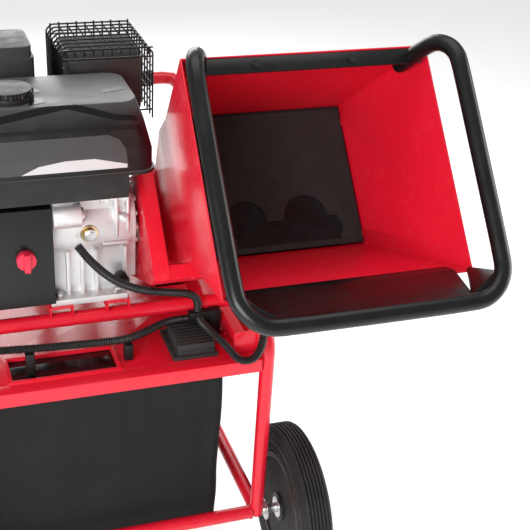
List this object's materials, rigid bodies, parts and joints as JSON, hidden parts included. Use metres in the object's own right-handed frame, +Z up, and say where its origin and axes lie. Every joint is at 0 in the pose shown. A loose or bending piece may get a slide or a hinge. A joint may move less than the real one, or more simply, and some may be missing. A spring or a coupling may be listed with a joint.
{
  "type": "wood chipper",
  "caption": "Petrol wood chipper on a wheeled red tube frame: engine, belt-driven cutting drum, tilted feed hopper with black guard bar, and a fabric collection bag.",
  "frame": {"origin": "on the ground, below the middle of the whole object's box", "axes": "+Z up; +X to the right of the operator at the hopper, along the wheel axle; +Y away from the operator, from the hopper's mouth towards the push handle"},
  "size_m": [0.9325, 1.0788, 1.1855],
  "materials": {
    "red_paint": "gloss powder coat",
    "black_paint": "satin powder coat",
    "black_plastic": "moulded",
    "tyre_rubber": "ribbed solid tyre",
    "black_rubber": "matt",
    "bag_fabric": "woven polyester",
    "zinc": "zinc plated",
    "cut_steel": "machined",
    "cast_bearing": "as cast",
    "cast_aluminium": "die cast",
    "red_plastic": "moulded"
  },
  "bodies": {
    "root": {"side_frame_right": "red_paint", "side_frame_left": "red_paint", "axle_tube": "red_paint", "cross_tubes": "red_paint", "shelf_rail": "red_paint", "engine_rails": "red_paint", "hopper_bracket": "red_paint", "push_handle": "red_paint", "handle_grips": "black_rubber", "rubber_feet": "black_rubber", "bag_cover": "red_paint", "bag_window": "black_plastic", "collection_bag": "bag_fabric", "bag_hooks": "zinc", "axle_shaft": "zinc", "hub_caps": "zinc", "cutting_chamber": "red_paint", "chamber_lid": "red_paint", "discharge_chute": "red_paint", "anvil_knife": "cut_steel", "drum_bearings": "cast_bearing", "belt_guard": "red_paint", "drive_belt": "black_rubber", "hopper_hinge_pin": "zinc", "engine_block": "cast_aluminium", "engine_cover": "cast_aluminium", "cylinder_fins": "cast_aluminium", "fan_shroud": "black_paint", "recoil_starter": "black_paint", "fuel_tank": "black_paint", "air_cleaner": "black_plastic", "carburettor": "cast_aluminium", "muffler": "black_paint", "muffler_guard": "black_paint", "starter_motor": "cast_aluminium", "regulator": "black_plastic", "safety_switch": "black_plastic", "cable_fittings": "black_plastic", "wiring_conduits": "black_plastic", "frame_bolts": "zinc"},
    "wheel_right": {"tyre_right": "tyre_rubber", "rim_right": "black_plastic"},
    "wheel_left": {"tyre_left": "tyre_rubber", "rim_left": "black_plastic"},
    "drum": {"cutting_drum": "cut_steel", "drum_knives": "cut_steel", "drum_pulley": "cut_steel"},
    "crankshaft": {"crank_pulley": "cut_steel"},
    "hopper": {"hopper_shell": "red_paint", "guard_bar": "black_paint", "hopper_trim": "black_paint", "hopper_bolts": "zinc"},
    "latch_knob": {"hopper_latch": "black_plastic"},
    "curtain": {"rubber_curtain": "black_rubber"},
    "starter_grip": {"recoil_handle": "black_plastic"},
    "fuel_filler_cap": {"fuel_cap": "black_plastic"},
    "dipstick": {"oil_dipstick": "black_plastic"},
    "throttle": {"throttle_lever": "zinc"},
    "choke": {"choke_lever": "black_plastic"},
    "switch_knob": {"engine_switch": "red_plastic"}
  },
  "joints": [
    {"name": "wheel_right_spin", "type": "hinge", "parent": "root", "child": "wheel_right", "pos_m": [0.28425, -0.14855, 0.174], "axis": [1, 0, 0], "continuous": true},
    {"name": "wheel_left_spin", "type": "hinge", "parent": "root", "child": "wheel_left", "pos_m": [-0.42875, -0.14855, 0.174], "axis": [1, 0, 0], "continuous": true},
    {"name": "drum_spin", "type": "hinge", "parent": "root", "child": "drum", "pos_m": [0.12175, 0.188, 0.67008], "axis": [1, 0, 0], "continuous": true},
    {"name": "crank_spin", "type": "hinge", "parent": "root", "child": "crankshaft", "pos_m": [-0.01225, 0.06395, 0.786], "axis": [1, 0, 0], "continuous": true},
    {"name": "hopper_hinge", "type": "hinge", "parent": "root", "child": "hopper", "pos_m": [0.19675, 0.10625, 0.74368], "axis": [0, 0.6691, 0.7431], "range_deg": [0, 60]},
    {"name": "latch_turn", "type": "hinge", "parent": "hopper", "child": "latch_knob", "pos_m": [0.11275, 0.17302, 0.84773], "axis": [0, -0.7431, 0.6691], "range_deg": [0, 720]},
    {"name": "curtain_swing", "type": "hinge", "parent": "hopper", "child": "curtain", "pos_m": [0.23475, 0.03026, 0.97089], "axis": [1, 0, 0], "range_deg": [-60, 0]},
    {"name": "starter_pull", "type": "slide", "parent": "root", "child": "starter_grip", "axis": [0, -0.9659, 0.2588], "range_m": [0, 0.55]},
    {"name": "fuel_cap_turn", "type": "hinge", "parent": "root", "child": "fuel_filler_cap", "pos_m": [-0.22625, 0.01295, 1.042], "axis": [0, 0, 1], "range_deg": [0, 120]},
    {"name": "dipstick_turn", "type": "hinge", "parent": "root", "child": "dipstick", "pos_m": [-0.04825, -0.02505, 0.696], "axis": [0, -1, 0], "range_deg": [0, 720]},
    {"name": "throttle_swing", "type": "hinge", "parent": "root", "child": "throttle", "pos_m": [-0.09425, -0.02605, 0.863], "axis": [0, -1, 0], "range_deg": [-28, 28]},
    {"name": "choke_swing", "type": "hinge", "parent": "root", "child": "choke", "pos_m": [-0.20825, 0.21395, 0.892], "axis": [0, -1, 0], "range_deg": [-30, 20]},
    {"name": "switch_turn", "type": "hinge", "parent": "root", "child": "switch_knob", "pos_m": [-0.22225, -0.05505, 0.767], "axis": [0, -1, 0], "range_deg": [0, 60]}
  ],
  "couplings": [
    {"joint": "crank_spin", "follows": "drum_spin", "ratio": 1.2609}
  ]
}
